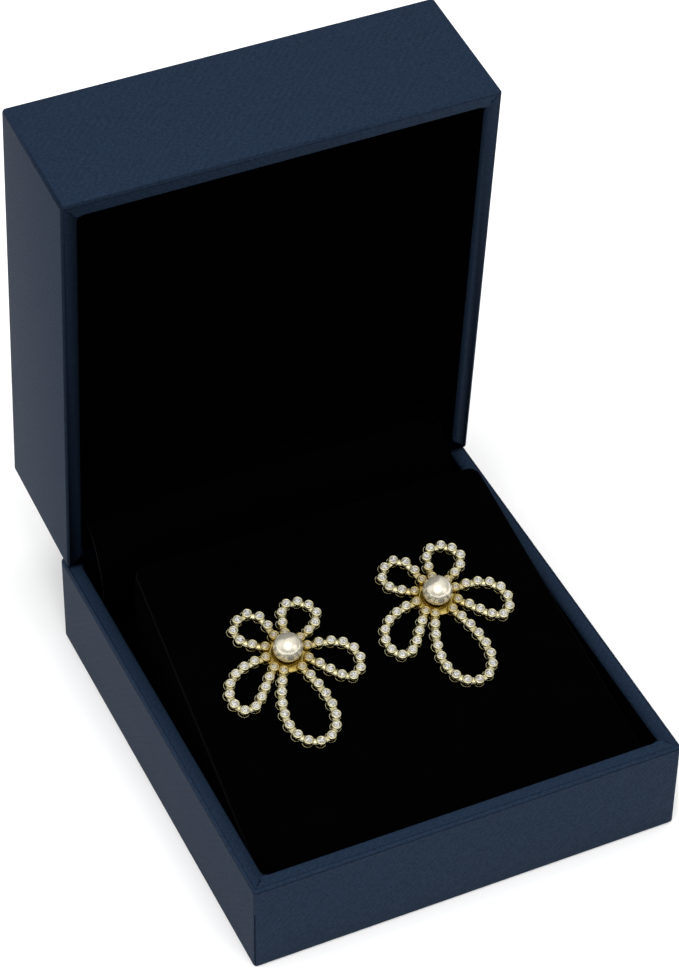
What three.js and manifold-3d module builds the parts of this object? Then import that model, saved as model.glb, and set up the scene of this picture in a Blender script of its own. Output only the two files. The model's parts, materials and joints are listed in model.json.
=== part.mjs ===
// A pair of flower stud earrings pinned on a velvet pad in a small hinged jewellery box.
// Millimetres, +Z up, +X to the right, +Y to the hinge. The origin is the centre of the base's underside.
// The lid is modelled open, as the box is shown: its group turns about the hinge line.

import * as THREE from 'three';
import { mergeVertices } from 'three/addons/utils/BufferGeometryUtils.js';
import Module from 'manifold-3d';

const wasm = await Module();
wasm.setup();

// Box
const BOX_WIDTH = 80;
const BOX_DEPTH = 86.8;
const BASE_HEIGHT = 19.3;
const LID_HEIGHT = 26.9;
const WALL = 3;
const FLOOR = 2.5;
const LID_TOP = 2.5;
const CORNER_RADIUS = 1.2;
const EDGE_ROUNDING = 0.5;
const HOLLOW_CORNER_RADIUS = 1.6;
const LID_OPEN_DEG = 85.6;
const CLOSED_RIM_GAP = 0.8;
const HINGE_INSET = 2;
const HINGE_RISE = 1.9;
const SEAT_GAP = 0.3;

// Lining
const PANEL_THICKNESS = 2;
const PANEL_MARGIN = 0.4;
const PANEL_ROUNDING = 0.5;
const PAD_BACK_Y = 24.1;
const PAD_FRONT_Y = -39.9;
const PAD_BACK_Z = 31.2;
const PAD_SLOPE = 0.27;
const PAD_BACK_WIDTH = 67.5;
const PAD_FRONT_WIDTH = 73.2;
const PAD_CORNER_RADIUS = 2;
const PAD_ROUNDING = 1.2;

// Hinge strip: a cloth band, its middle line runs from the base's back wall up into the lid
const STRIP_WIDTH = 70;
const STRIP_THICKNESS = 0.8;
const STRIP_STEPS = 20;
const STRIP_LINE = [
  { y: 39.6, z: 4 },
  { y: 37, z: 9.5 },
  { y: 35.4, z: 15.2 },
  { y: 36.6, z: 20.2 },
  { y: 39.2, z: 24.8 },
  { y: 42.8, z: 26.7 },
  { y: 48.5, z: 25.3 },
  { y: 60.6, z: 25.3 },
];

// Flower: heights are above the pad's surface
const STONE_PITCH = 2.2;
const INNER_RING_RADIUS = 3.8;
const CUP_SIDES = 10;
const CUP_RADIUS = 1.02;
const CUP_FOOT_Z = 0.3;
const CUP_RIM_Z = 1.75;
const STONE_RADIUS = 0.82;
const TABLE_RADIUS = 0.48;
const TABLE_Z = 2.08;
const BAND_WIDTH = 1.4;
const BAND_TOP_Z = 1.2;
const HUB_RADIUS = 3.6;
const HUB_TOP_Z = 1;
const HUB_SIDES = 20;
const PEG_RADIUS = 0.4;
const PEG_TOP_Z = 2.3;
const POST_RADIUS = 0.45;
const POST_LENGTH = 10;
const WIRE_SIDES = 10;

// Each petal is a loop from the hub: its direction there, how far it turns out to the tip,
// its length and width along the stones' middle line, and how slim it is near the hub
const PETALS = [
  { name: 'upper_left', rootDeg: 125.9, turnDeg: -0.9, length: 10.49, width: 6.09, slimness: 2.24 },
  { name: 'upper_right', rootDeg: 53.5, turnDeg: -0.2, length: 10.56, width: 6.26, slimness: 2.28 },
  { name: 'right', rootDeg: -10.3, turnDeg: -19.8, length: 13.05, width: 6.52, slimness: 2.05 },
  { name: 'lower', rootDeg: -94.3, turnDeg: 2.4, length: 18.26, width: 8.62, slimness: 1.2 },
  { name: 'left', rootDeg: -169.6, turnDeg: 22.8, length: 14.32, width: 6.27, slimness: 1.83 },
];
const PETAL_SAMPLES = 400;

// Ball
const BALL_RADIUS = 2.65;
const BALL_CENTRE_Z = 2.95;
const BALL_FLAT_Z = 1.2;
const BALL_SIDES = 16;
const BALL_ROWS = 8;
const PEG_HOLE_RADIUS = 0.7;
const PEG_HOLE_TOP_Z = 2.6;

// Where each stud is pinned: across the pad, down its slope from the back edge, and its turn
const STUDS = [
  { name: 'left', x: -15.05, slope: -25.59, turnDeg: -2.2 },
  { name: 'right', x: 14.48, slope: -23.87, turnDeg: 2.2 },
];

const HINGE_Y = BOX_DEPTH / 2 - HINGE_INSET;
const HINGE_Z = BASE_HEIGHT + CLOSED_RIM_GAP + HINGE_RISE;
const PAD_TILT = Math.atan(PAD_SLOPE);
const PAD_FOOT_Z = FLOOR + SEAT_GAP;
const radians = THREE.MathUtils.degToRad;

const leatherette = { color: 0x26344a, roughness: 0.62, metalness: 0 };
const velvet = { color: 0x08080a, roughness: 1, metalness: 0 };
const cloth = { color: 0x0c0c0e, roughness: 0.95, metalness: 0 };
const gold = { color: 0xd9bd74, roughness: 0.22, metalness: 1 };
const polishedGold = { color: 0xded3b4, roughness: 0.08, metalness: 1 };

// Closed meshes and solids

function solidOf(geometry) {
  const bare = geometry.clone();
  bare.deleteAttribute('normal');
  bare.deleteAttribute('uv');
  const merged = mergeVertices(bare, 1e-5);
  const mesh = new wasm.Mesh({
    numProp: 3,
    vertProperties: new Float32Array(merged.attributes.position.array),
    triVerts: new Uint32Array(merged.index.array),
  });
  return new wasm.Manifold(mesh);
}

// Flat faces that were joined become one face each
function geometryOf(solid) {
  const mesh = solid.asOriginal().simplify().getMesh();
  const geometry = new THREE.BufferGeometry();
  geometry.setAttribute('position', new THREE.BufferAttribute(mesh.vertProperties, 3));
  geometry.setIndex(new THREE.BufferAttribute(mesh.triVerts, 1));
  geometry.computeVertexNormals();
  return geometry;
}

function piece(name, geometry, finish) {
  const mesh = new THREE.Mesh(geometry, new THREE.MeshStandardMaterial(finish));
  mesh.name = name;
  return mesh;
}

// A closed outline whose corners are rounded by one radius
function roundedOutline(corners, radius) {
  const shape = new THREE.Shape();
  corners.forEach((corner, i) => {
    const before = corners[(i + corners.length - 1) % corners.length];
    const after = corners[(i + 1) % corners.length];
    const start = corner.clone().add(before.clone().sub(corner).setLength(radius));
    const end = corner.clone().add(after.clone().sub(corner).setLength(radius));
    if (i === 0) {
      shape.moveTo(start.x, start.y);
    } else {
      shape.lineTo(start.x, start.y);
    }
    shape.quadraticCurveTo(corner.x, corner.y, end.x, end.y);
  });
  shape.closePath();
  return shape;
}

function rectangle(width, frontY, backY) {
  return [
    new THREE.Vector2(-width / 2, frontY),
    new THREE.Vector2(width / 2, frontY),
    new THREE.Vector2(width / 2, backY),
    new THREE.Vector2(-width / 2, backY),
  ];
}

// An upright block on an outline, from lowZ to highZ, with its top and bottom edges rounded
function block(shape, lowZ, highZ, rounding) {
  const geometry = new THREE.ExtrudeGeometry(shape, {
    depth: highZ - lowZ - 2 * rounding,
    curveSegments: 3,
    bevelEnabled: rounding > 0,
    bevelThickness: rounding,
    bevelSize: rounding,
    bevelOffset: -rounding,
    bevelSegments: 2,
  });
  geometry.translate(0, 0, lowZ + rounding);
  return geometry;
}

function cylinder(radius, lowZ, highZ, sides) {
  const geometry = new THREE.CylinderGeometry(radius, radius, highZ - lowZ, sides);
  geometry.rotateX(Math.PI / 2);
  geometry.translate(0, 0, (lowZ + highZ) / 2);
  return geometry;
}

// A turned piece about Z from a profile of [radius, z] pairs that starts and ends on the axis
function turned(profile, sides) {
  const points = profile.map(([radius, z]) => new THREE.Vector2(radius, z));
  const geometry = new THREE.LatheGeometry(points, sides);
  geometry.rotateX(Math.PI / 2);
  return geometry;
}

// Box

function hollowBox(frontY, backY, lowZ, highZ, hollowLowZ, hollowHighZ) {
  const outside = roundedOutline(rectangle(BOX_WIDTH, frontY, backY), CORNER_RADIUS);
  const inside = roundedOutline(
    rectangle(BOX_WIDTH - 2 * WALL, frontY + WALL, backY - WALL),
    HOLLOW_CORNER_RADIUS,
  );
  const body = solidOf(block(outside, lowZ, highZ, EDGE_ROUNDING));
  return geometryOf(body.subtract(solidOf(block(inside, hollowLowZ, hollowHighZ, 0))));
}

function boxBase() {
  const pastRim = BASE_HEIGHT + WALL;
  const shell = hollowBox(-BOX_DEPTH / 2, BOX_DEPTH / 2, 0, BASE_HEIGHT, FLOOR, pastRim);
  return piece('box_base', shell, leatherette);
}

// The lid is drawn closed, in the hinge's own frame, and its group opens it
function boxLid() {
  const rimZ = -HINGE_RISE;
  const topZ = rimZ + LID_HEIGHT;
  const ceilingZ = topZ - LID_TOP;
  const backY = HINGE_INSET;
  const frontY = backY - BOX_DEPTH;
  const shell = hollowBox(frontY, backY, rimZ, topZ, rimZ - WALL, ceilingZ);
  const inset = WALL + PANEL_MARGIN;
  const panelOutline = roundedOutline(
    rectangle(BOX_WIDTH - 2 * inset, frontY + inset, backY - inset),
    HOLLOW_CORNER_RADIUS,
  );
  const panelTopZ = ceilingZ - SEAT_GAP;
  const panel = block(panelOutline, panelTopZ - PANEL_THICKNESS, panelTopZ, PANEL_ROUNDING);
  const lid = new THREE.Group();
  lid.add(piece('box_lid', shell, leatherette));
  lid.add(piece('lid_panel', panel, velvet));
  lid.position.set(0, HINGE_Y, HINGE_Z);
  lid.rotation.x = -radians(LID_OPEN_DEG);
  return lid;
}

// A band of even thickness along a curve in the YZ plane, as wide as the hinge's cover
function hingeStrip() {
  const line = new THREE.SplineCurve(STRIP_LINE.map(({ y, z }) => new THREE.Vector2(y, z)));
  const lower = [];
  const upper = [];
  for (let i = 0; i <= STRIP_STEPS; i += 1) {
    const middle = line.getPointAt(i / STRIP_STEPS);
    const along = line.getTangentAt(i / STRIP_STEPS);
    const side = new THREE.Vector2(-along.y, along.x).multiplyScalar(STRIP_THICKNESS / 2);
    upper.push(middle.clone().add(side));
    lower.push(middle.clone().sub(side));
  }
  const section = new THREE.Shape([...lower, ...upper.reverse()]);
  const geometry = new THREE.ExtrudeGeometry(section, { depth: STRIP_WIDTH, bevelEnabled: false });
  const yzToWorld = new THREE.Matrix4().makeBasis(
    new THREE.Vector3(0, 1, 0),
    new THREE.Vector3(0, 0, 1),
    new THREE.Vector3(1, 0, 0),
  );
  geometry.applyMatrix4(yzToWorld);
  geometry.translate(-STRIP_WIDTH / 2, 0, 0);
  return piece('hinge_strip', geometry, cloth);
}

// Pad

// The frame of a stud: on the pad's surface, Y up the slope and Z out of the pad
function studGroup({ x, slope, turnDeg }) {
  const group = new THREE.Group();
  const y = PAD_BACK_Y + slope * Math.cos(PAD_TILT);
  const z = PAD_BACK_Z + slope * Math.sin(PAD_TILT);
  group.position.set(x, y, z);
  group.rotation.set(PAD_TILT, 0, radians(turnDeg));
  group.updateMatrix();
  return group;
}

// An upright block on a tapered outline, its top drawn down to the slope, drilled for the posts
function displayPad(studGroups) {
  const outline = roundedOutline(
    [
      new THREE.Vector2(-PAD_FRONT_WIDTH / 2, PAD_FRONT_Y),
      new THREE.Vector2(PAD_FRONT_WIDTH / 2, PAD_FRONT_Y),
      new THREE.Vector2(PAD_BACK_WIDTH / 2, PAD_BACK_Y),
      new THREE.Vector2(-PAD_BACK_WIDTH / 2, PAD_BACK_Y),
    ],
    PAD_CORNER_RADIUS,
  );
  const upright = block(outline, PAD_FOOT_Z, PAD_BACK_Z, PAD_ROUNDING);
  const place = upright.attributes.position;
  for (let i = 0; i < place.count; i += 1) {
    const share = (place.getZ(i) - PAD_FOOT_Z) / (PAD_BACK_Z - PAD_FOOT_Z);
    place.setZ(i, place.getZ(i) - share * PAD_SLOPE * (PAD_BACK_Y - place.getY(i)));
  }
  let pad = solidOf(upright);
  studGroups.forEach((group) => {
    const hole = cylinder(
      POST_RADIUS + SEAT_GAP,
      -POST_LENGTH - SEAT_GAP,
      SEAT_GAP,
      WIRE_SIDES,
    );
    hole.applyMatrix4(group.matrix);
    pad = pad.subtract(solidOf(hole));
  });
  return piece('display_pad', geometryOf(pad), velvet);
}

// Flower

// The stones' places round one petal, an even pitch apart, outside the inner ring
function stonePlaces({ rootDeg, turnDeg, length, width, slimness }) {
  const loop = [];
  for (let i = 0; i <= PETAL_SAMPLES; i += 1) {
    const t = (2 * Math.PI * i) / PETAL_SAMPLES;
    const out = (length * (1 - Math.cos(t))) / 2;
    loop.push({ out, across: Math.sin(t) * Math.sin(t / 2) ** slimness });
  }
  const widest = Math.max(...loop.map(({ across }) => across));
  const points = loop.map(({ out, across }) => {
    const side = (across / widest) * (width / 2);
    const turn = radians(rootDeg + (turnDeg * out) / length);
    return new THREE.Vector2(out, side).rotateAround(new THREE.Vector2(), turn);
  });
  const strand = new THREE.SplineCurve(points.filter((p) => p.length() >= INNER_RING_RADIUS));
  const steps = Math.round(strand.getLength() / STONE_PITCH);
  return strand.getSpacedPoints(steps);
}

// A bezel cup with its stone: foot, wall, rim, crown facets and table
function stoneCup(place) {
  const cup = turned(
    [
      [0, CUP_FOOT_Z],
      [CUP_RADIUS, CUP_FOOT_Z],
      [CUP_RADIUS, CUP_RIM_Z],
      [STONE_RADIUS, CUP_RIM_Z],
      [TABLE_RADIUS, TABLE_Z],
      [0, TABLE_Z],
    ],
    CUP_SIDES,
  );
  cup.translate(place.x, place.y, 0);
  return solidOf(cup);
}

// The wire that joins the cups of one petal
function petalBand(places) {
  const middleZ = (CUP_FOOT_Z + BAND_TOP_Z) / 2;
  const path = new THREE.CatmullRomCurve3(places.map((p) => new THREE.Vector3(p.x, p.y, middleZ)));
  const halfHeight = (BAND_TOP_Z - CUP_FOOT_Z) / 2;
  const section = new THREE.Shape([
    new THREE.Vector2(-halfHeight, -BAND_WIDTH / 2),
    new THREE.Vector2(halfHeight, -BAND_WIDTH / 2),
    new THREE.Vector2(halfHeight, BAND_WIDTH / 2),
    new THREE.Vector2(-halfHeight, BAND_WIDTH / 2),
  ]);
  const steps = places.length - 1;
  return solidOf(new THREE.ExtrudeGeometry(section, { steps, extrudePath: path, bevelEnabled: false }));
}

function flower() {
  let metal = solidOf(cylinder(HUB_RADIUS, CUP_FOOT_Z, HUB_TOP_Z, HUB_SIDES));
  metal = metal.add(solidOf(cylinder(PEG_RADIUS, CUP_FOOT_Z, PEG_TOP_Z, WIRE_SIDES)));
  metal = metal.add(solidOf(cylinder(POST_RADIUS, -POST_LENGTH, HUB_TOP_Z, WIRE_SIDES)));
  PETALS.forEach((petal) => {
    const places = stonePlaces(petal);
    metal = metal.add(petalBand(places));
    places.forEach((place) => {
      metal = metal.add(stoneCup(place));
    });
  });
  return geometryOf(metal);
}

// Ball with a flat seat, drilled for the peg
function ball() {
  const profile = [
    [0, PEG_HOLE_TOP_Z],
    [PEG_HOLE_RADIUS, PEG_HOLE_TOP_Z],
    [PEG_HOLE_RADIUS, BALL_FLAT_Z],
  ];
  const seatAngle = Math.asin((BALL_FLAT_Z - BALL_CENTRE_Z) / BALL_RADIUS);
  for (let i = 0; i < BALL_ROWS; i += 1) {
    const angle = THREE.MathUtils.lerp(seatAngle, Math.PI / 2, i / BALL_ROWS);
    profile.push([BALL_RADIUS * Math.cos(angle), BALL_CENTRE_Z + BALL_RADIUS * Math.sin(angle)]);
  }
  profile.push([0, BALL_CENTRE_Z + BALL_RADIUS]);
  return geometryOf(solidOf(turned(profile, BALL_SIDES)));
}

const studGroups = STUDS.map(studGroup);
const flowerGeometry = flower();
const ballGeometry = ball();
STUDS.forEach(({ name }, i) => {
  studGroups[i].add(piece(`${name}_flower`, flowerGeometry, gold));
  studGroups[i].add(piece(`${name}_ball`, ballGeometry, polishedGold));
});

const jewelBox = new THREE.Group();
jewelBox.add(boxBase(), displayPad(studGroups), hingeStrip(), ...studGroups, boxLid());

export default jewelBox;
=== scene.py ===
"""Looks for a pair of flower stud earrings pinned on a velvet pad in an open hinged jewellery box.

Sizes are in millimetres and become metres through MM. +Z is up and +Y runs to the hinge.
"""

import json
import math

import bmesh
import bpy
from mathutils import Matrix, Vector


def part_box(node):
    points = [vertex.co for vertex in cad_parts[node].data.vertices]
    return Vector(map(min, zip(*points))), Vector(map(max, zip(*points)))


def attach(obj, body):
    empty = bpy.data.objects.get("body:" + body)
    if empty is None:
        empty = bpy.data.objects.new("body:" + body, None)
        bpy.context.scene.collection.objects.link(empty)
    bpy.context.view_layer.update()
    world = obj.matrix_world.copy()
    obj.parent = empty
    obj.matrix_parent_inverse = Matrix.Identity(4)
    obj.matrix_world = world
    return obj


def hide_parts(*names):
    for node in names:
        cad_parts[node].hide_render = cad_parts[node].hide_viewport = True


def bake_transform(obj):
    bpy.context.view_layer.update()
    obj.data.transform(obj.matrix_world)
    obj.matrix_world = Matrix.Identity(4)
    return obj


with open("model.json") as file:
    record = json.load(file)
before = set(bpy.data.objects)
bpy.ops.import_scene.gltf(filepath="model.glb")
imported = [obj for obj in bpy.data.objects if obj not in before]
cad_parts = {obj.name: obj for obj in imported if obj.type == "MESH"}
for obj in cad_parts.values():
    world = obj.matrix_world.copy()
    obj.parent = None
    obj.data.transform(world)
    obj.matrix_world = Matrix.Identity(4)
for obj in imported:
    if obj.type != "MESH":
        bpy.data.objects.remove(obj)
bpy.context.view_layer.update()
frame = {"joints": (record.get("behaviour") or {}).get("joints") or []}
MM = 0.001

# Box
WALL = 3.0
FLOOR = 2.5
CORNER_RADIUS = 0.7
EDGE_ROUNDING = 0.5
HOLLOW_CORNER_RADIUS = 1.6
LID_HEIGHT = 26.9
LID_OPEN_DEG = 85.6
HINGE_INSET = 2.0
HINGE_RISE = 1.9

# How the covering is folded over the rims
RIM_INNER_ROUNDING = 1.0
FOLD_DROP = 0.5
FOLD_WIDTH = 0.22
FOLD_DEPTH = 0.12
MITRE_HALF_WIDTH = 0.16
MITRE_DEPTH = 0.22
SEAM_DROP = 6.0
SEAM_DEPTH = 0.25

# The box's own shade on its rims, from 0 for none to 1 for full
LEFT_SHADE = {"base": 0.0, "lid": 0.45}
HOLLOW_SHADE = 0.4
HINGE_SHADE = 1.0

# Lining
PANEL_THICKNESS = 2.0
PANEL_MARGIN = 0.4
PANEL_ROUNDING = 0.5
SEAT_GAP = 0.3
PAD_SLOPE = 0.27
PAD_BACK = (24.1, 31.2)
PAD_FRONT_Y = -39.9
PAD_WIDTHS = {"front": 73.2, "back": 67.5}
PAD_CORNER_RADIUS = 2.0
PAD_ROUNDING = 1.2
STRIP_WIDTH = 70.0
STRIP_THICKNESS = 0.5
STRIP_LINE = (
    (39.6, 4), (37, 9.5), (35.4, 15.2), (36.6, 20.2), (39.2, 24.8), (42.8, 26.7), (48.5, 25.3),
    (60.6, 25.3),
)
STRIP_BEND = {"start": 3, "end": 5}

# Flower, with heights above the pad's surface
STONE_PITCH = 2.2
INNER_RING_RADIUS = 3.8
PETALS = (
    {"root": 125.9, "turn": -0.9, "length": 10.49, "width": 6.09, "slimness": 2.24},
    {"root": 53.5, "turn": -0.2, "length": 10.56, "width": 6.26, "slimness": 2.28},
    {"root": -10.3, "turn": -19.8, "length": 13.05, "width": 6.52, "slimness": 2.05},
    {"root": -94.3, "turn": 2.4, "length": 18.26, "width": 8.62, "slimness": 1.2},
    {"root": -169.6, "turn": 22.8, "length": 14.32, "width": 6.27, "slimness": 1.83},
)
STUDS = {
    "left": {"x": -15.05, "slope": -25.59, "turn": -2.2},
    "right": {"x": 14.48, "slope": -23.87, "turn": 2.2},
}
CUP_RINGS = (
    (0.7, 0.42), (0.74, 1.0), (0.86, 1.18), (0.94, 1.38), (0.94, 1.56), (0.89, 1.69), (0.8, 1.78),
    (0.68, 1.81), (0.59, 1.75), (0.54, 1.5),
)
CUP_SIDES = 18
RAIL = {"radius": 0.98, "wire": 0.07, "z": 0.78, "shift": (-0.16, -0.05)}
GIRDLE_RADIUS = 0.6
GIRDLE_Z = 1.74
GALLERY_RADIUS = 0.7
GALLERY_Z = 1.14
GALLERY_FLATTEN = 0.62
HUB_RINGS = (
    (3.6, 0.3), (3.85, 0.42), (3.88, 0.8), (3.7, 1.0), (2.7, 1.12), (2.5, 1.0), (0.5, 1.0),
)
PEG_RADIUS = 0.4
PEG_ROOT = 1.02
PEG_TOP = 2.3
POST_RADIUS = 0.45
POST_LENGTH = 10.0
POST_TIP = {"radius": 0.2, "length": 0.3}
POST_ROOT = 0.4
BALL_RADIUS = 2.65
BALL_CENTRE = 2.95
BALL_FLAT = 1.2
# Where the painted reflection of gold warms the flower's middle, from full to none
PAINTED_REFLECTION_REACH = {"full": 3.4, "none": 6.5}

# The camera, fitted to the corners of the box in a 679 by 968 picture
PICTURE_HEIGHT = 968
FOCAL_PIXELS = 3438.17
SENSOR = 36.0
CAMERA_PLACE = (-186.918, -382.511, 449.794)
CAMERA_AZIMUTH = -25.429
CAMERA_ELEVATION = 42.57
CAMERA_ROLL = 0.924

# The studio: soft lights painted on the sky, each fading out from its middle
AMBIENT = 0.32
SKY_LIGHTS = (
    {"azimuth": -25, "elevation": 52, "half_angle": 42, "strength": 1.3},
    {"azimuth": 38, "elevation": 23, "half_angle": 26, "strength": 0.9},
    {"azimuth": -105, "elevation": 12, "half_angle": 42, "strength": 0.5},
    {"azimuth": 0, "elevation": 90, "half_angle": 80, "strength": 0.5},
)
KEY = {"azimuth": -40, "elevation": 76, "strength": 1.7, "spread": 70}
FLOOR_SPAN = 30000


# Modelling by hand, in code


def deselect():
    if bpy.context.object and bpy.context.object.mode != "OBJECT":
        bpy.ops.object.mode_set(mode="OBJECT")
    bpy.ops.object.select_all(action="DESELECT")


def activate(obj):
    deselect()
    obj.select_set(True)
    bpy.context.view_layer.objects.active = obj


def edit(obj):
    activate(obj)
    bpy.ops.object.mode_set(mode="EDIT")


def pick(obj, kind, test):
    """In edit mode, selects only the faces, edges or vertices that pass the test."""
    bpy.ops.mesh.select_mode(type=kind)
    bpy.ops.mesh.select_all(action="DESELECT")
    mesh = bmesh.from_edit_mesh(obj.data)
    parts = {"FACE": mesh.faces, "EDGE": mesh.edges, "VERT": mesh.verts}[kind]
    for part in parts:
        if test(part):
            part.select_set(True)
    mesh.select_flush_mode()
    bmesh.update_edit_mesh(obj.data)


def modify(obj, kind, **settings):
    activate(obj)
    modifier = obj.modifiers.new(kind.title(), kind)
    for key, value in settings.items():
        setattr(modifier, key, value)
    bpy.ops.object.modifier_apply(modifier=modifier.name)


def add_block(name, low, high):
    """A block between two corners in millimetres, its place in its mesh."""
    low, high = Vector(low), Vector(high)
    deselect()
    bpy.ops.mesh.primitive_cube_add(size=MM, location=(low + high) / 2 * MM, scale=high - low)
    bpy.ops.object.transform_apply(location=True, rotation=True, scale=True)
    bpy.context.object.name = name
    return bpy.context.object


def add_turned(name, rings, sides):
    """A turned piece about Z: a disc at the first (radius, height), drawn out ring by ring."""
    radius, height = rings[0]
    deselect()
    bpy.ops.mesh.primitive_circle_add(
        vertices=sides, radius=radius * MM, fill_type="NGON", location=(0, 0, height * MM)
    )
    bpy.ops.object.transform_apply(location=True, rotation=True, scale=True)
    obj = bpy.context.object
    obj.name = name
    edit(obj)
    bpy.ops.mesh.select_all(action="SELECT")
    for next_radius, next_height in rings[1:]:
        bpy.ops.mesh.extrude_region_move(
            TRANSFORM_OT_translate={"value": (0, 0, (next_height - height) * MM)}
        )
        scale = next_radius / radius
        bpy.ops.transform.resize(
            value=(scale, scale, 1), center_override=(0, 0, next_height * MM)
        )
        radius, height = next_radius, next_height
    bpy.ops.mesh.select_all(action="SELECT")
    bpy.ops.mesh.normals_make_consistent(inside=False)
    bpy.ops.object.mode_set(mode="OBJECT")
    return obj


def copy_at(obj, matrix):
    """A copy with its own mesh, moved by a matrix."""
    twin = obj.copy()
    twin.data = obj.data.copy()
    twin.data.transform(matrix)
    bpy.context.scene.collection.objects.link(twin)
    return twin


def join(name, pieces):
    deselect()
    for obj in pieces:
        obj.select_set(True)
    bpy.context.view_layer.objects.active = pieces[0]
    bpy.ops.object.join()
    pieces[0].name = name
    return pieces[0]


def remove(obj):
    bpy.data.objects.remove(obj)


def smooth(obj, degrees):
    activate(obj)
    bpy.ops.object.shade_smooth_by_angle(angle=math.radians(degrees))


def finish_piece(obj, body, slot, *nodes):
    """Lets a piece move with its body in place of the plain solids."""
    if body:
        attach(obj, body)
    if nodes:
        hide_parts(*nodes)


# Materials. A colour Mix node's sockets go by number, as its other kinds have the same names.
MIX_FACTOR = 0
MIX_FIRST = 6
MIX_SECOND = 7
MIX_RESULT = 2


def linear(code):
    """The linear colour of an sRGB hex code."""
    parts = [int(code[i : i + 2], 16) / 255 for i in (1, 3, 5)]
    return tuple(c / 12.92 if c <= 0.04045 else ((c + 0.055) / 1.055) ** 2.4 for c in parts) + (1,)


def add_node(tree, kind, values=None, links=None, **settings):
    node = tree.nodes.new(kind)
    for key, value in settings.items():
        setattr(node, key, value)
    for key, value in (values or {}).items():
        node.inputs[key].default_value = value
    for key, source in (links or {}).items():
        tree.links.new(source, node.inputs[key])
    return node


def new_material(name):
    material = bpy.data.materials.new(name)
    material.use_nodes = True
    return material, material.node_tree, material.node_tree.nodes["Principled BSDF"]


def navy_leatherette():
    """Polyurethane leatherette, pressed with fine grain and faint twill: matt, softly mottled navy."""
    material, tree, shader = new_material("navy_leatherette")
    twill_pitch = 1.1
    cross_pitch = 0.55
    grain = 0.45
    fade = 4.0
    # The wave scale that sets diagonal bands one millimetre apart
    diagonal = 2 * math.pi / (10 * math.sqrt(2))
    coords = add_node(tree, "ShaderNodeTexCoord")
    flat = add_node(
        tree,
        "ShaderNodeMapping",
        {"Scale": (1 / MM, 1 / MM, 0)},
        {"Vector": coords.outputs["UV"]},
    )
    crossed = add_node(
        tree,
        "ShaderNodeMapping",
        {"Rotation": (0, 0, math.pi / 2)},
        {"Vector": flat.outputs["Vector"]},
    )
    twill = add_node(
        tree,
        "ShaderNodeTexWave",
        {"Scale": diagonal / twill_pitch, "Distortion": 3.5, "Detail": 2.0, "Detail Scale": 1.6},
        {"Vector": crossed.outputs["Vector"]},
        bands_direction="DIAGONAL",
    )
    cross = add_node(
        tree,
        "ShaderNodeTexWave",
        {"Scale": diagonal / cross_pitch, "Distortion": 4.0, "Detail": 2.0, "Detail Scale": 1.5},
        {"Vector": flat.outputs["Vector"]},
        bands_direction="DIAGONAL",
    )
    fine = add_node(
        tree,
        "ShaderNodeTexNoise",
        {"Scale": 1 / (grain * MM), "Detail": 4.0, "Roughness": 0.65},
        {"Vector": coords.outputs["Object"]},
    )
    weave = add_node(
        tree,
        "ShaderNodeMix",
        {"Factor": 0.4},
        {"A": twill.outputs["Fac"], "B": cross.outputs["Fac"]},
    )
    press = add_node(
        tree,
        "ShaderNodeTexNoise",
        {"Scale": 1 / (fade * MM)},
        {"Vector": coords.outputs["Object"]},
    )
    depth = add_node(
        tree,
        "ShaderNodeMapRange",
        {"From Min": 0.35, "From Max": 0.65, "To Min": 0.0, "To Max": 0.18},
        {"Value": press.outputs["Fac"]},
    )
    height = add_node(
        tree,
        "ShaderNodeMix",
        links={
            "Factor": depth.outputs["Result"],
            "A": fine.outputs["Fac"],
            "B": weave.outputs["Result"],
        },
    )
    bump = add_node(
        tree,
        "ShaderNodeBump",
        {"Strength": 0.5, "Distance": 0.07 * MM},
        {"Height": height.outputs["Result"]},
    )
    tone = add_node(tree, "ShaderNodeValToRGB", links={"Fac": height.outputs["Result"]})
    tone.color_ramp.elements[0].position = 0.2
    tone.color_ramp.elements[0].color = linear("#121B29")
    tone.color_ramp.elements[1].position = 0.8
    tone.color_ramp.elements[1].color = linear("#213044")
    rough = add_node(
        tree,
        "ShaderNodeMapRange",
        {"To Min": 0.66, "To Max": 0.52},
        {"Value": height.outputs["Result"]},
    )
    shade = add_node(tree, "ShaderNodeAttribute", attribute_name="shade")
    shaded = add_node(
        tree,
        "ShaderNodeMix",
        {MIX_SECOND: linear("#010205")},
        {MIX_FACTOR: shade.outputs["Fac"], MIX_FIRST: tone.outputs["Color"]},
        data_type="RGBA",
    )
    shine = add_node(
        tree,
        "ShaderNodeMapRange",
        {"To Min": 0.05, "To Max": 0.0},
        {"Value": shade.outputs["Fac"]},
    )
    shader.inputs["IOR"].default_value = 1.48
    tree.links.new(shaded.outputs[MIX_RESULT], shader.inputs["Base Color"])
    tree.links.new(shine.outputs["Result"], shader.inputs["Specular IOR Level"])
    tree.links.new(rough.outputs["Result"], shader.inputs["Roughness"])
    tree.links.new(bump.outputs["Normal"], shader.inputs["Normal"])
    return material


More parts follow.
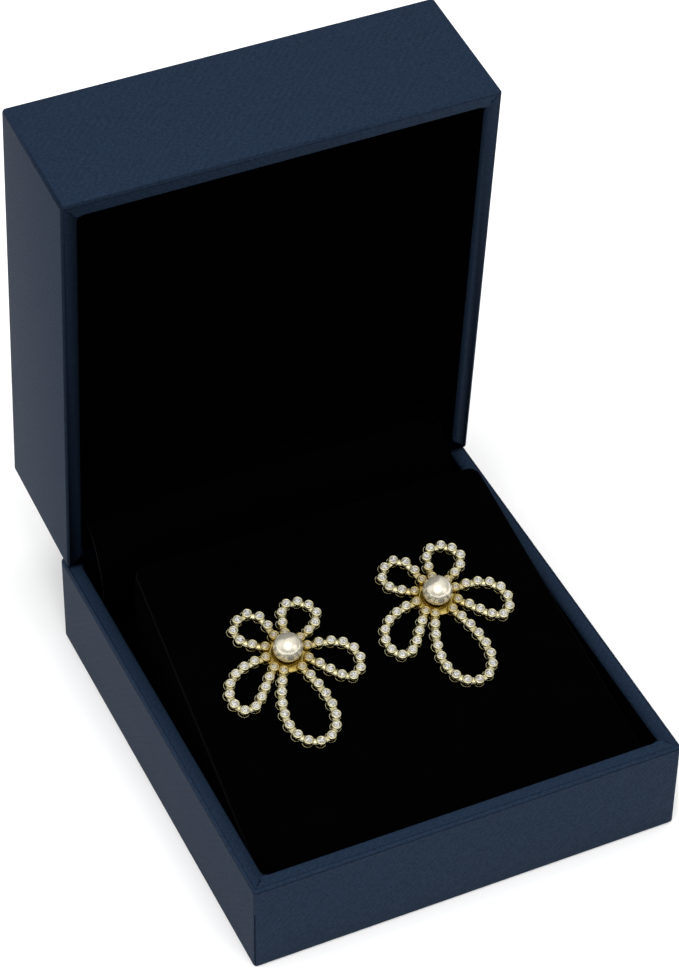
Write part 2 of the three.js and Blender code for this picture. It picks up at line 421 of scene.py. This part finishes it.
def black_velvet():
    """Flocked rayon velvet: a short dense pile that swallows light, with a faint painted highlight on
    its rounded edges.
    """
    material, tree, shader = new_material("black_velvet")
    # Coarser than a real pile, so that it shows
    pile = 0.22
    nap = 9.0
    coords = add_node(tree, "ShaderNodeTexCoord")
    tufts = add_node(
        tree,
        "ShaderNodeTexNoise",
        {"Scale": 1 / (pile * MM), "Detail": 2.0},
        {"Vector": coords.outputs["Object"]},
    )
    brushed = add_node(
        tree,
        "ShaderNodeTexNoise",
        {"Scale": 1 / (nap * MM), "Detail": 2.0},
        {"Vector": coords.outputs["Object"]},
    )
    tone = add_node(tree, "ShaderNodeValToRGB", links={"Fac": brushed.outputs["Fac"]})
    tone.color_ramp.elements[0].color = linear("#010101")
    tone.color_ramp.elements[1].color = linear("#020203")
    bump = add_node(
        tree,
        "ShaderNodeBump",
        {"Strength": 0.6, "Distance": 0.1 * MM},
        {"Height": tufts.outputs["Fac"]},
    )
    shader.inputs["Roughness"].default_value = 1.0
    shader.inputs["Specular IOR Level"].default_value = 0.0
    shader.inputs["Sheen Weight"].default_value = 0.001
    shader.inputs["Sheen Roughness"].default_value = 0.5
    # Painted highlight: faces marked as edge take a lighter colour than the pile
    edge = add_node(tree, "ShaderNodeAttribute", attribute_name="edge")
    painted_edge_highlight = add_node(
        tree,
        "ShaderNodeMix",
        {MIX_SECOND: linear("#070807")},
        {MIX_FACTOR: edge.outputs["Fac"], MIX_FIRST: tone.outputs["Color"]},
        data_type="RGBA",
    )
    tree.links.new(painted_edge_highlight.outputs[MIX_RESULT], shader.inputs["Base Color"])
    tree.links.new(bump.outputs["Normal"], shader.inputs["Normal"])
    return material


def hinge_cloth(name, deep, pale):
    """Black cotton tape: a plain weave, matt, a little greyer than the velvet; its paler copy paints a
    highlight on the tape's cut sides.
    """
    material, tree, shader = new_material(name)
    thread = 0.3
    coords = add_node(tree, "ShaderNodeTexCoord")
    warp = add_node(
        tree,
        "ShaderNodeTexWave",
        {"Scale": math.pi / 10 / (thread * MM), "Distortion": 0.4},
        {"Vector": coords.outputs["Object"]},
        bands_direction="X",
    )
    weft = add_node(
        tree,
        "ShaderNodeTexWave",
        {"Scale": math.pi / 10 / (thread * MM), "Distortion": 0.4},
        {"Vector": coords.outputs["Object"]},
        bands_direction="Z",
    )
    weave = add_node(
        tree,
        "ShaderNodeMix",
        {"Factor": 0.5},
        {"A": warp.outputs["Fac"], "B": weft.outputs["Fac"]},
    )
    tone = add_node(tree, "ShaderNodeValToRGB", links={"Fac": weave.outputs["Result"]})
    tone.color_ramp.elements[0].color = linear(deep)
    tone.color_ramp.elements[1].color = linear(pale)
    bump = add_node(
        tree,
        "ShaderNodeBump",
        {"Strength": 0.4, "Distance": 0.08 * MM},
        {"Height": weave.outputs["Result"]},
    )
    shader.inputs["Roughness"].default_value = 0.95
    shader.inputs["Specular IOR Level"].default_value = 0.0
    tree.links.new(tone.outputs["Color"], shader.inputs["Base Color"])
    tree.links.new(bump.outputs["Normal"], shader.inputs["Normal"])
    return material


def gold(name, deep, pale, roughness, metallic):
    """Plated gold, cast and tumbled: pale champagne, its polish broken by fine ripples.

    A metallic value under 1 adds plain colour, which softens the balls' dark reflections.
    """
    material, tree, shader = new_material(name)
    ripple = 0.5
    coords = add_node(tree, "ShaderNodeTexCoord")
    waves = add_node(
        tree,
        "ShaderNodeTexNoise",
        {"Scale": 1 / (ripple * MM), "Detail": 2.0},
        {"Vector": coords.outputs["Object"]},
    )
    tone = add_node(tree, "ShaderNodeValToRGB", links={"Fac": waves.outputs["Fac"]})
    tone.color_ramp.elements[0].position = 0.3
    tone.color_ramp.elements[0].color = linear(deep)
    tone.color_ramp.elements[1].position = 0.7
    tone.color_ramp.elements[1].color = linear(pale)
    rough = add_node(
        tree,
        "ShaderNodeMapRange",
        {"To Min": roughness * 0.75, "To Max": roughness * 1.35},
        {"Value": waves.outputs["Fac"]},
    )
    shader.inputs["Metallic"].default_value = metallic
    tree.links.new(tone.outputs["Color"], shader.inputs["Base Color"])
    tree.links.new(rough.outputs["Result"], shader.inputs["Roughness"])
    return material


def painted_gold_reflection(tree, colour, tint):
    """A colour turned warm near the flower's middle: a painted reflection of the gold gathered there.
    """
    reach = add_node(tree, "ShaderNodeAttribute", attribute_name="reach")
    inward = add_node(
        tree,
        "ShaderNodeMapRange",
        {
            "From Min": PAINTED_REFLECTION_REACH["full"] * MM,
            "From Max": PAINTED_REFLECTION_REACH["none"] * MM,
            "To Min": 1.0,
            "To Max": 0.0,
        },
        {"Value": reach.outputs["Fac"]},
    )
    blend = add_node(
        tree,
        "ShaderNodeMix",
        {MIX_SECOND: linear(tint)},
        {MIX_FACTOR: inward.outputs["Result"], MIX_FIRST: colour},
        data_type="RGBA",
        blend_type="MULTIPLY",
    )
    return blend.outputs[MIX_RESULT]


def flower_gold():
    """The petals' plated gold, warmer at the flower's middle than outward by a painted reflection of
    gold.
    """
    material = gold("champagne_gold", "#CCC292", "#E9E3C2", 0.24, 1.0)
    tree = material.node_tree
    shader = tree.nodes["Principled BSDF"]
    pale = shader.inputs["Base Color"].links[0].from_socket
    tree.links.new(painted_gold_reflection(tree, pale, "#DCC888"), shader.inputs["Base Color"])
    return material


def cut_stone():
    """Cubic zirconia with a foiled back; each facet's colour is set lighter or darker as a painted
    glint.
    """
    material, tree, shader = new_material("cut_stone")
    # Painted glints: the facet value turns each facet's colour lighter or darker
    facet = add_node(tree, "ShaderNodeAttribute", attribute_name="facet")
    tone = add_node(tree, "ShaderNodeValToRGB", links={"Fac": facet.outputs["Fac"]})
    tone.color_ramp.elements[0].position = 0.15
    tone.color_ramp.elements[0].color = linear("#77777E")
    tone.color_ramp.elements[1].position = 0.75
    tone.color_ramp.elements[1].color = linear("#F2F0EC")
    blend = painted_gold_reflection(tree, tone.outputs["Color"], "#E3D2A2")
    shader.inputs["Roughness"].default_value = 0.02
    shader.inputs["IOR"].default_value = 2.2
    shader.inputs["Transmission Weight"].default_value = 0.4
    tree.links.new(blend, shader.inputs["Base Color"])
    return material


LEATHERETTE = navy_leatherette()
VELVET = black_velvet()
CLOTH = hinge_cloth("hinge_cloth", "#010101", "#030304")
# Painted highlight for the tape's cut sides
CLOTH_EDGE_HIGHLIGHT = hinge_cloth("painted_cloth_highlight", "#121212", "#222222")
PETAL_GOLD = flower_gold()
BALL_GOLD = gold("polished_gold", "#E8E1CC", "#EEE8D6", 0.2, 0.7)
STONE = cut_stone()


# Box


def leather_shell(name, low, high, rim, depth, creased, left_shade):
    """A covered box hollowed from its rim: rim is 1 when that is the top and -1 when the bottom.

    The covering is folded over the rim with mitred corners, and where creased is true its cut edge
    shows as a crease below the rim and as a seam down the front corners.
    """
    shell = add_block(name, low, high)
    rim_z = (high if rim > 0 else low)[2] * MM
    middle = (Vector(low) + Vector(high)) / 2 * MM
    half = (Vector(high) - Vector(low)) / 2 * MM
    near = 0.01 * MM

    def centre(edge):
        return (edge.verts[0].co + edge.verts[1].co) / 2 - middle

    def upright(edge):
        return (edge.verts[0].co - edge.verts[1].co).xy.length < near

    def outside(edge):
        place = centre(edge)
        return max(abs(place.x) - half.x, abs(place.y) - half.y) > -near

    def sharp(edge):
        return len(edge.link_faces) == 2 and edge.calc_face_angle() > math.radians(80)

    def at_rim(edge):
        return all(abs(vert.co.z - rim_z) < near for vert in edge.verts)

    def in_hollow(place, margin):
        return abs(place.x) < half.x - margin * MM and abs(place.y) < half.y - margin * MM

    def slanting(edge):
        along = edge.verts[0].co - edge.verts[1].co
        return along.length > 0.4 * MM and abs(abs(along.x) - abs(along.y)) < 0.2 * along.length

    def mitre_line(edge):
        sides = [half - Vector([abs(c) for c in vert.co - middle]) for vert in edge.verts]
        return at_rim(edge) and slanting(edge) and all(abs(s.x - s.y) < near for s in sides)

    def lined(face):
        faces_away = face.normal.z * rim < -0.5
        return not faces_away and in_hollow(face.calc_center_median() - middle, WALL - 0.05)

    def folded_edge(face):
        drop = abs(face.calc_center_median().z - rim_z) / MM
        place = face.calc_center_median() - middle
        return FOLD_DROP < drop < FOLD_DROP + FOLD_WIDTH and not in_hollow(place, WALL / 2)

    def corner_seam(face):
        place = face.calc_center_median()
        slanted = abs(abs(face.normal.x) - abs(face.normal.y)) < 0.05 and abs(face.normal.z) < 0.1
        low_down = abs(place.z - rim_z) > SEAM_DROP * MM
        return slanted and low_down and place.y < middle.y and not in_hollow(place - middle, WALL / 2)

    edit(shell)
    pick(shell, "FACE", lambda face: face.normal.z * rim > 0.9)
    bpy.ops.mesh.inset(thickness=WALL * MM)
    bpy.ops.mesh.extrude_region_move(TRANSFORM_OT_translate={"value": (0, 0, -rim * depth * MM)})
    pick(shell, "EDGE", lambda edge: upright(edge) and not outside(edge))
    bpy.ops.mesh.bevel(offset=HOLLOW_CORNER_RADIUS * MM, segments=5)
    pick(shell, "EDGE", lambda edge: upright(edge) and outside(edge))
    bpy.ops.mesh.bevel(offset=CORNER_RADIUS * MM, segments=5)
    pick(shell, "EDGE", lambda edge: sharp(edge) and not in_hollow(centre(edge), WALL - CORNER_RADIUS))
    bpy.ops.mesh.bevel(offset=EDGE_ROUNDING * MM, segments=4)
    pick(shell, "EDGE", lambda edge: sharp(edge) and at_rim(edge))
    bpy.ops.mesh.bevel(offset=RIM_INNER_ROUNDING * MM, segments=4)
    pick(shell, "EDGE", mitre_line)
    bpy.ops.mesh.bevel(offset=MITRE_HALF_WIDTH * MM, segments=2)
    pick(shell, "EDGE", mitre_line)
    bpy.ops.transform.translate(value=(0, 0, -rim * MITRE_DEPTH * MM))
    bpy.ops.mesh.select_all(action="SELECT")
    bpy.ops.mesh.normals_make_consistent(inside=False)
    if creased:
        for drop in (FOLD_DROP, FOLD_DROP + FOLD_WIDTH, SEAM_DROP):
            bpy.ops.mesh.select_all(action="SELECT")
            bpy.ops.mesh.bisect(plane_co=(0, 0, rim_z - rim * drop * MM), plane_no=(0, 0, 1))
        pick(shell, "FACE", folded_edge)
        bpy.ops.mesh.extrude_region_shrink_fatten(
            TRANSFORM_OT_shrink_fatten={"value": -FOLD_DEPTH * MM}
        )
        pick(shell, "FACE", corner_seam)
        bpy.ops.mesh.extrude_region_shrink_fatten(
            TRANSFORM_OT_shrink_fatten={"value": -SEAM_DEPTH * MM}
        )
    bpy.ops.mesh.select_all(action="SELECT")
    bpy.ops.uv.cube_project(cube_size=1.0)
    shell.data.materials.append(LEATHERETTE)
    shell.data.materials.append(VELVET)
    pick(shell, "FACE", lined)
    shell.active_material_index = 1
    bpy.ops.object.material_slot_assign()
    bpy.ops.object.mode_set(mode="OBJECT")
    for face in shell.data.polygons:
        if abs(face.normal.x) > 0.7:
            for i in face.loop_indices:
                shell.data.uv_layers.active.uv[i].vector.x *= -1
    shade_rim(shell, low, high, rim_z, left_shade)
    smooth(shell, 30)
    return shell


def shade_rim(shell, low, high, rim_z, left_shade):
    """Marks the box's own shade on its rim: most on the left and to the hollow, full at the hinge."""
    shade = shell.data.attributes.new("shade", "FLOAT", "POINT")
    for value, vert in zip(shade.data, shell.data.vertices):
        place = vert.co / MM
        side = min(place.x - low[0], high[0] - place.x)
        front = place.y - low[1]
        hinge = high[1] - place.y
        leftness = (high[0] - place.x) / (high[0] - low[0])
        inside_outer_face = min(side, front, hinge) > 0.02
        on_rim = abs(vert.co.z - rim_z) < RIM_INNER_ROUNDING * MM and inside_outer_face
        if on_rim and hinge < min(side, front):
            value.value = HINGE_SHADE
        elif on_rim:
            value.value = left_shade * leftness
            if side < front:
                value.value += HOLLOW_SHADE * side / WALL


def box_base():
    """The tray, at its solid's size. Returns its corners in millimetres."""
    low, high = (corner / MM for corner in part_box("box_base"))
    shell = leather_shell("base_shell", low, high, 1, high.z - low.z - FLOOR, True, LEFT_SHADE["base"])
    finish_piece(shell, "base", "navy_leatherette", "box_base")
    return low, high


def open_lid(obj):
    """Swings a piece drawn in the closed lid's own frame to where the lid stands open."""
    hinge = Matrix.Translation(Vector(frame["joints"][0]["pos_m"]))
    obj.data.transform(hinge @ Matrix.Rotation(-math.radians(LID_OPEN_DEG), 4, "X"))


def box_lid(base_low, base_high):
    """The lid and its lining, drawn closed about the hinge line and then opened."""
    half = (base_high.x - base_low.x) / 2
    front = HINGE_INSET - (base_high.y - base_low.y)
    top = LID_HEIGHT - HINGE_RISE
    shell = leather_shell(
        "lid_shell",
        (-half, front, -HINGE_RISE),
        (half, HINGE_INSET, top),
        -1,
        LID_HEIGHT - FLOOR,
        False,
        LEFT_SHADE["lid"],
    )
    open_lid(shell)
    finish_piece(shell, "lid", "navy_leatherette", "box_lid")
    inset = WALL + PANEL_MARGIN
    ceiling = top - FLOOR - SEAT_GAP
    panel = add_block(
        "lid_lining",
        (inset - half, front + inset, ceiling - PANEL_THICKNESS),
        (half - inset, HINGE_INSET - inset, ceiling),
    )
    modify(panel, "BEVEL", width=PANEL_ROUNDING * MM, segments=3)
    smooth(panel, 40)
    open_lid(panel)
    panel.data.materials.append(VELVET)
    finish_piece(panel, "lid", "black_velvet", "lid_panel")


def hinge_strip():
    """A cloth band drawn out step by step along its line, from the base's back wall up into the lid."""
    points = [Vector((0, y, z)) * MM for y, z in STRIP_LINE]
    points = [2 * points[0] - points[1], *points, 2 * points[-1] - points[-2]]
    steps = 6
    line = []
    for before, start, end, after in zip(points, points[1:], points[2:], points[3:]):
        for i in range(steps):
            t = i / steps
            line.append(
                0.5
                * (
                    2 * start
                    + (end - before) * t
                    + (2 * before - 5 * start + 4 * end - after) * t**2
                    + (3 * start - before - 3 * end + after) * t**3
                )
            )
    line.append(points[-2])
    deselect()
    bpy.ops.mesh.primitive_plane_add(size=STRIP_WIDTH * MM, location=(0, 0, 0))
    strip = bpy.context.object
    strip.name = "hinge_tape"
    edit(strip)
    pick(strip, "EDGE", lambda edge: all(vert.co.y > 0 for vert in edge.verts))
    bpy.ops.transform.translate(value=line[0] - Vector((0, STRIP_WIDTH / 2 * MM, 0)))
    for here, there in zip(line, line[1:]):
        bpy.ops.mesh.extrude_region_move(TRANSFORM_OT_translate={"value": there - here})
    pick(strip, "VERT", lambda vert: vert.co.y < 0)
    bpy.ops.mesh.delete(type="VERT")
    bpy.ops.mesh.select_all(action="SELECT")
    bpy.ops.mesh.normals_make_consistent(inside=False)
    bpy.ops.object.mode_set(mode="OBJECT")
    modify(strip, "SOLIDIFY", thickness=STRIP_THICKNESS * MM, offset=0)
    smooth(strip, 40)
    strip.data.materials.append(CLOTH)
    strip.data.materials.append(CLOTH_EDGE_HIGHLIGHT)
    edit(strip)
    # Painted highlight: the tape's cut side faces take the paler cloth
    pick(strip, "FACE", lambda face: abs(face.normal.x) > 0.9)
    strip.active_material_index = 1
    bpy.ops.object.material_slot_assign()
    bpy.ops.object.mode_set(mode="OBJECT")
    finish_piece(strip, None, "hinge_cloth", "hinge_strip")
    start, end = (line[STRIP_BEND[key] * steps] for key in ("start", "end"))
    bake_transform(strip)


def display_pad():
    """A wedge covered in velvet: a block drawn down to its slope, tapered, and softly rounded."""
    low, _ = (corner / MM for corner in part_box("display_pad"))
    back_y, back_z = PAD_BACK
    front_z = back_z - PAD_SLOPE * (back_y - PAD_FRONT_Y)
    half = PAD_WIDTHS["front"] / 2
    pad = add_block("velvet_pad", (-half, PAD_FRONT_Y, low.z), (half, back_y, back_z))
    edit(pad)
    pick(pad, "VERT", lambda vert: vert.co.y < 0 and vert.co.z > front_z * MM)
    bpy.ops.transform.translate(value=(0, 0, (front_z - back_z) * MM))
    pick(pad, "VERT", lambda vert: vert.co.y > 0)
    taper = PAD_WIDTHS["back"] / PAD_WIDTHS["front"]
    bpy.ops.transform.resize(value=(taper, 1, 1), center_override=(0, back_y * MM, back_z * MM))
    pick(pad, "EDGE", lambda edge: abs((edge.verts[0].co - edge.verts[1].co).normalized().z) > 0.9)
    bpy.ops.mesh.bevel(offset=PAD_CORNER_RADIUS * MM, segments=5)
    pick(pad, "FACE", lambda face: face.normal.z > 0.9)
    bpy.ops.mesh.region_to_loop()
    bpy.ops.mesh.bevel(offset=PAD_ROUNDING * MM, segments=5)
    bpy.ops.object.mode_set(mode="OBJECT")
    # Painted highlight: the faces of the rounded top edge are marked to be coloured lighter, where they
    # catch light
    edge = pad.data.attributes.new("edge", "FLOAT", "FACE")
    for value, face in zip(edge.data, pad.data.polygons):
        value.value = 1.0 if 0.5 < face.normal.z < 0.85 else 0.0
    smooth(pad, 35)
    pad.data.materials.append(VELVET)
    finish_piece(pad, "base", "black_velvet", "display_pad")


# Earrings


def stone_places(petal):
    """Places round one petal, an even pitch apart and outside the inner ring."""
    samples = 400
    loop = []
    for i in range(samples + 1):
        t = 2 * math.pi * i / samples
        out = petal["length"] * (1 - math.cos(t)) / 2
        loop.append((out, math.sin(t) * math.sin(t / 2) ** petal["slimness"]))
    widest = max(across for _, across in loop)
    strand = []
    for out, across in loop:
        turn = math.radians(petal["root"] + petal["turn"] * out / petal["length"])
        point = Matrix.Rotation(turn, 2) @ Vector((out, across / widest * petal["width"] / 2))
        if point.length >= INNER_RING_RADIUS:
            strand.append(point)
    lengths = [0.0]
    for a, b in zip(strand, strand[1:]):
        lengths.append(lengths[-1] + (b - a).length)
    count = round(lengths[-1] / STONE_PITCH)
    places = []
    for i in range(count + 1):
        goal = lengths[-1] * i / count
        k = min(range(len(lengths)), key=lambda j: abs(lengths[j] - goal))
        places.append(strand[k])
    return places


def bezel_cup():
    """A cup with a drawn-in foot and a broad rim rolled over the stone, above a thin wire rail."""
    cup = add_turned("cup", CUP_RINGS, CUP_SIDES)
    deselect()
    bpy.ops.mesh.primitive_torus_add(
        major_radius=RAIL["radius"] * MM,
        minor_radius=RAIL["wire"] * MM,
        major_segments=CUP_SIDES,
        minor_segments=6,
        location=Vector((*RAIL["shift"], RAIL["z"])) * MM,
    )
    bpy.ops.object.transform_apply(location=True, rotation=True, scale=True)
    cup = join("cup", [cup, bpy.context.object])
    smooth(cup, 60)
    return cup


def brilliant():
    """A round brilliant: table, crown kites, girdle and pavilion as the hull of a few rings."""
    rings = (
        {"sides": 8, "radius": 0.56, "height": 0.36, "turn": 0.0},
        {"sides": 8, "radius": 0.82, "height": 0.2, "turn": 22.5},
        {"sides": 16, "radius": 1.0, "height": 0.02, "turn": 0.0},
        {"sides": 16, "radius": 1.0, "height": -0.05, "turn": 0.0},
        {"sides": 8, "radius": 0.2, "height": -0.72, "turn": 22.5},
    )
    circles = []
    for ring in rings:
        deselect()
        bpy.ops.mesh.primitive_circle_add(
            vertices=ring["sides"],
            radius=ring["radius"] * GIRDLE_RADIUS * MM,
            location=(0, 0, (GIRDLE_Z + ring["height"] * GIRDLE_RADIUS) * MM),
            rotation=(0, 0, math.radians(ring["turn"])),
        )
        bpy.ops.object.transform_apply(location=True, rotation=True, scale=True)
        circles.append(bpy.context.object)
    stone = join("stone", circles)
    edit(stone)
    bpy.ops.mesh.select_all(action="SELECT")
    bpy.ops.mesh.convex_hull()
    bpy.ops.object.mode_set(mode="OBJECT")
    return stone


def gallery_wire(places):
    """The flattened wire that joins the cups of one petal."""
    curve = bpy.data.curves.new("gallery", "CURVE")
    curve.dimensions = "3D"
    curve.bevel_depth = GALLERY_RADIUS * MM
    curve.bevel_resolution = 3
    curve.use_fill_caps = True
    spline = curve.splines.new("POLY")
    spline.points.add(len(places) - 1)
    for point, place in zip(spline.points, places):
        point.co = (place.x * MM, place.y * MM, GALLERY_Z * MM, 1)
    obj = bpy.data.objects.new("gallery", curve)
    bpy.context.scene.collection.objects.link(obj)
    activate(obj)
    bpy.ops.object.convert(target="MESH")
    obj = bpy.context.object
    edit(obj)
    bpy.ops.mesh.select_all(action="SELECT")
    bpy.ops.transform.resize(value=(1, 1, GALLERY_FLATTEN), center_override=(0, 0, GALLERY_Z * MM))
    bpy.ops.object.mode_set(mode="OBJECT")
    smooth(obj, 50)
    return obj


def stud_matrix(stud):
    """From the pad's surface, Y up the slope, to the box's frame."""
    tilt = math.atan(PAD_SLOPE)
    back_y, back_z = PAD_BACK
    y = back_y + stud["slope"] * math.cos(tilt)
    z = back_z + stud["slope"] * math.sin(tilt)
    place = Matrix.Translation(Vector((stud["x"], y, z)) * MM)
    return place @ Matrix.Rotation(tilt, 4, "X") @ Matrix.Rotation(math.radians(stud["turn"]), 4, "Z")


def flower():
    """One flower in the pad's frame: its gold, and its stones."""
    cup, stone = bezel_cup(), brilliant()
    peg = ((PEG_RADIUS, PEG_ROOT), (PEG_RADIUS, PEG_TOP))
    hub = add_turned("hub", HUB_RINGS + peg, 40)
    smooth(hub, 50)
    post_rings = (
        (POST_TIP["radius"], -POST_LENGTH),
        (POST_RADIUS, POST_TIP["length"] - POST_LENGTH),
        (POST_RADIUS, POST_ROOT),
    )
    post = add_turned("post", post_rings, 14)
    smooth(post, 50)
    metal, stones = [hub, post], []
    count = 0
    golden_angle = 137.5
    for petal in PETALS:
        places = stone_places(petal)
        metal.append(gallery_wire(places))
        for place in places:
            spot = Matrix.Translation(Vector((place.x, place.y, 0)) * MM)
            metal.append(copy_at(cup, spot))
            count += 1
            spin = Matrix.Rotation(math.radians(golden_angle * count), 4, "Z")
            stones.append(copy_at(stone, spot @ spin))
    remove(cup)
    remove(stone)
    metal = join("flower_gold", metal)
    metal.data.materials.append(PETAL_GOLD)
    stones = join("flower_stones", stones)
    # Each point's distance from the flower's middle, for the painted reflection of gold
    for obj in (metal, stones):
        reach = obj.data.attributes.new("reach", "FLOAT", "POINT")
        for value, vert in zip(reach.data, obj.data.vertices):
            value.value = vert.co.xy.length
    # Painted glints: each face of the stones gets its own value for the stone's colour
    facet = stones.data.attributes.new("facet", "FLOAT", "FACE")
    golden_ratio = 0.618034
    for i, value in enumerate(facet.data):
        value.value = i * golden_ratio % 1
    stones.data.materials.append(STONE)
    return metal, stones


def ball():
    """The polished ball in the pad's frame, cut flat where it sits on the hub."""
    deselect()
    bpy.ops.mesh.primitive_uv_sphere_add(
        segments=64, ring_count=40, radius=BALL_RADIUS * MM, location=(0, 0, BALL_CENTRE * MM)
    )
    bpy.ops.object.transform_apply(location=True, rotation=True, scale=True)
    obj = bpy.context.object
    edit(obj)
    bpy.ops.mesh.select_all(action="SELECT")
    bpy.ops.mesh.bisect(
        plane_co=(0, 0, BALL_FLAT * MM), plane_no=(0, 0, 1), clear_inner=True, use_fill=True
    )
    bpy.ops.object.mode_set(mode="OBJECT")
    smooth(obj, 40)
    obj.data.materials.append(BALL_GOLD)
    return obj


def earrings():
    """Both studs, copied from one flower and one ball."""
    gold_shape, stone_shape = flower()
    ball_shape = ball()
    for side, stud in STUDS.items():
        matrix = stud_matrix(stud)
        petals = copy_at(gold_shape, matrix)
        petals.name = f"{side}_petals"
        finish_piece(petals, "base", "gold", f"{side}_flower")
        stones = copy_at(stone_shape, matrix)
        stones.name = f"{side}_stones"
        finish_piece(stones, "base", "stone")
        bead = copy_at(ball_shape, matrix)
        bead.name = f"{side}_bead"
        finish_piece(bead, "base", "polished_gold", f"{side}_ball")
    for shape in (gold_shape, stone_shape, ball_shape):
        remove(shape)


# Stage


def camera():
    """The camera at its fitted place, turned to its line of sight and then rolled."""
    azimuth, roll = math.radians(CAMERA_AZIMUTH), math.radians(CAMERA_ROLL)
    back = direction(CAMERA_AZIMUTH, CAMERA_ELEVATION)
    right = Vector((math.cos(azimuth), math.sin(azimuth), 0))
    up = back.cross(right)
    rolled_right = right * math.cos(roll) + up * math.sin(roll)
    rolled_up = up * math.cos(roll) - right * math.sin(roll)
    data = bpy.data.cameras.new("camera")
    data.sensor_width = SENSOR
    data.lens = FOCAL_PIXELS / PICTURE_HEIGHT * SENSOR
    data.clip_start = 0.01
    data.clip_end = 20
    obj = bpy.data.objects.new("camera", data)
    bpy.context.scene.collection.objects.link(obj)
    turn = Matrix((rolled_right, rolled_up, back)).transposed().to_4x4()
    obj.matrix_world = Matrix.Translation(Vector(CAMERA_PLACE) * MM) @ turn
    bpy.context.scene.camera = obj


def direction(azimuth, elevation):
    """A unit vector: azimuth 0 looks from the open front, positive to the right."""
    azimuth, elevation = math.radians(azimuth), math.radians(elevation)
    level = math.cos(elevation)
    return Vector((math.sin(azimuth) * level, -math.cos(azimuth) * level, math.sin(elevation)))


def soft_sky():
    """A white sky with broad soft lights in it, as reflected by polished metal in a light tent."""
    world = bpy.data.worlds.new("studio")
    bpy.context.scene.world = world
    world.use_nodes = True
    tree = world.node_tree
    coords = add_node(tree, "ShaderNodeTexCoord")
    total = None
    for light in SKY_LIGHTS:
        facing = add_node(
            tree,
            "ShaderNodeVectorMath",
            {1: direction(light["azimuth"], light["elevation"])},
            {0: coords.outputs["Generated"]},
            operation="DOT_PRODUCT",
        )
        glow = add_node(
            tree,
            "ShaderNodeMapRange",
            {"From Min": math.cos(math.radians(light["half_angle"])), "To Max": light["strength"]},
            {"Value": facing.outputs["Value"]},
            interpolation_type="SMOOTHSTEP",
        )
        total = add_node(
            tree,
            "ShaderNodeMath",
            {1: AMBIENT},
            {0: glow.outputs["Result"], **({1: total} if total else {})},
        ).outputs["Value"]
    background = tree.nodes["Background"]
    background.inputs["Color"].default_value = (1, 1, 1, 1)
    tree.links.new(total, background.inputs["Strength"])


def key_light():
    """A broad overhead light, kept out of the polished metal's reflections."""
    data = bpy.data.lights.new("key", "SUN")
    data.energy = KEY["strength"]
    data.angle = math.radians(KEY["spread"])
    obj = bpy.data.objects.new("key", data)
    bpy.context.scene.collection.objects.link(obj)
    obj.visible_glossy = False
    obj.rotation_euler = direction(KEY["azimuth"], KEY["elevation"]).to_track_quat("Z", "Y").to_euler()


def studio():
    soft_sky()
    key_light()
    deselect()
    bpy.ops.mesh.primitive_plane_add(size=FLOOR_SPAN * MM, location=(0, 0, 0))
    floor = bpy.context.object
    floor.name = "floor"
    material, _, shader = new_material("pale_floor")
    shader.inputs["Base Color"].default_value = linear("#F6F6F6")
    shader.inputs["Roughness"].default_value = 0.9
    floor.data.materials.append(material)
    bpy.context.scene.view_settings.view_transform = "Standard"


camera()
box_lid(*box_base())
display_pad()
hinge_strip()
earrings()
studio()
